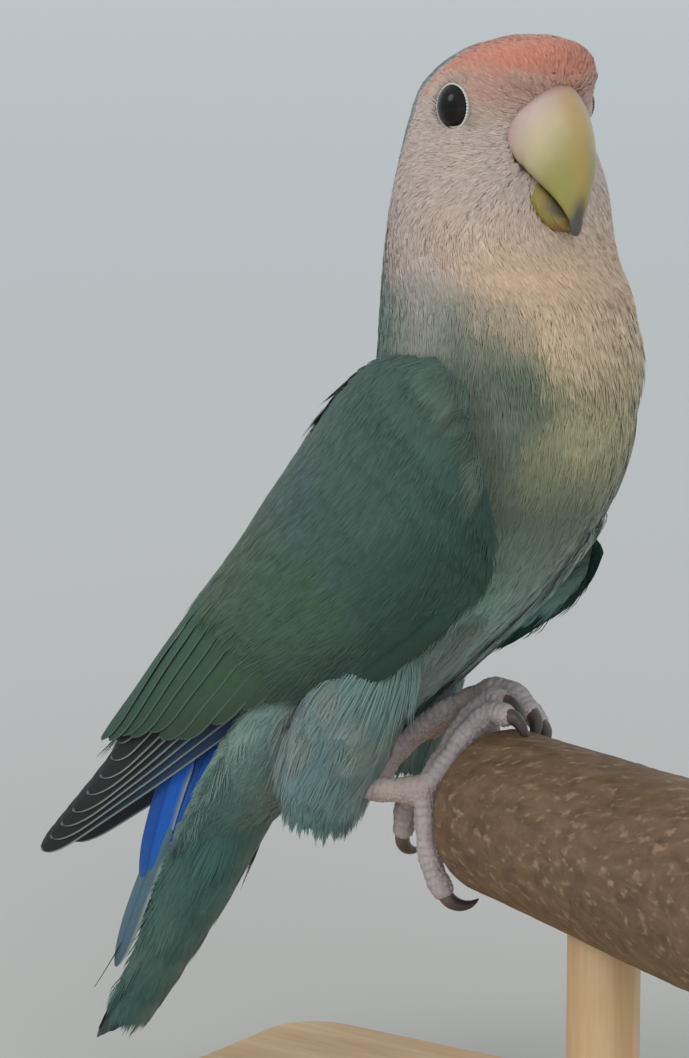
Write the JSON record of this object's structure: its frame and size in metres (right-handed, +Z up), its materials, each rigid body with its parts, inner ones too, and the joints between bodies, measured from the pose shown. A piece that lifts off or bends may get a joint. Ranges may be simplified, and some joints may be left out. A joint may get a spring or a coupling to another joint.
{
  "type": "peach-faced lovebird model",
  "caption": "Life-size still model of a peach-faced lovebird in a sea-green colour form, gripping the end of a short wooden perch on a plain display stand.",
  "frame": {"origin": "centre of the display base's underside, on the floor", "axes": "+Z up; +X the way the bird's body faces; -Y its right side. The head is turned 20 degrees to its right and the perch runs 25 degrees to its right"},
  "size_m": [0.1426, 0.0785, 0.1565],
  "materials": {
    "head_feathers": "soft short feathers, peach to salmon",
    "neck_feathers": "soft short feathers, pale peach",
    "body_feathers": "soft loose feathers, sea-green to turquoise",
    "wing_feathers": "smooth firm feathers, dark green, slate at the tips",
    "tail_feathers": "smooth firm feathers, turquoise to slate blue",
    "bill_horn": "satin horn, greenish yellow with a dark tip",
    "eye": "wet gloss, dark brown",
    "foot_skin": "dry scaly skin, pale lilac grey",
    "claw_horn": "polished dark horn",
    "perch_wood": "smooth bare branch, mottled brown",
    "stand_wood": "plain pale wood, satin"
  },
  "bodies": {
    "root": {"head": "head_feathers", "bill_upper": "bill_horn", "bill_lower": "bill_horn", "eye_right": "eye", "eye_left": "eye", "neck": "neck_feathers", "torso": "body_feathers", "tail": "tail_feathers", "wing_right": "wing_feathers", "wing_left": "wing_feathers", "thigh_right": "body_feathers", "thigh_left": "body_feathers", "foot_right": "foot_skin", "foot_left": "foot_skin", "claw_right_outer_front": "claw_horn", "claw_right_inner_front": "claw_horn", "claw_right_outer_back": "claw_horn", "claw_right_inner_back": "claw_horn", "claw_left_outer_front": "claw_horn", "claw_left_inner_front": "claw_horn", "claw_left_outer_back": "claw_horn", "claw_left_inner_back": "claw_horn", "perch": "perch_wood", "stand_rod": "stand_wood", "stand_base": "stand_wood"}
  },
  "joints": []
}
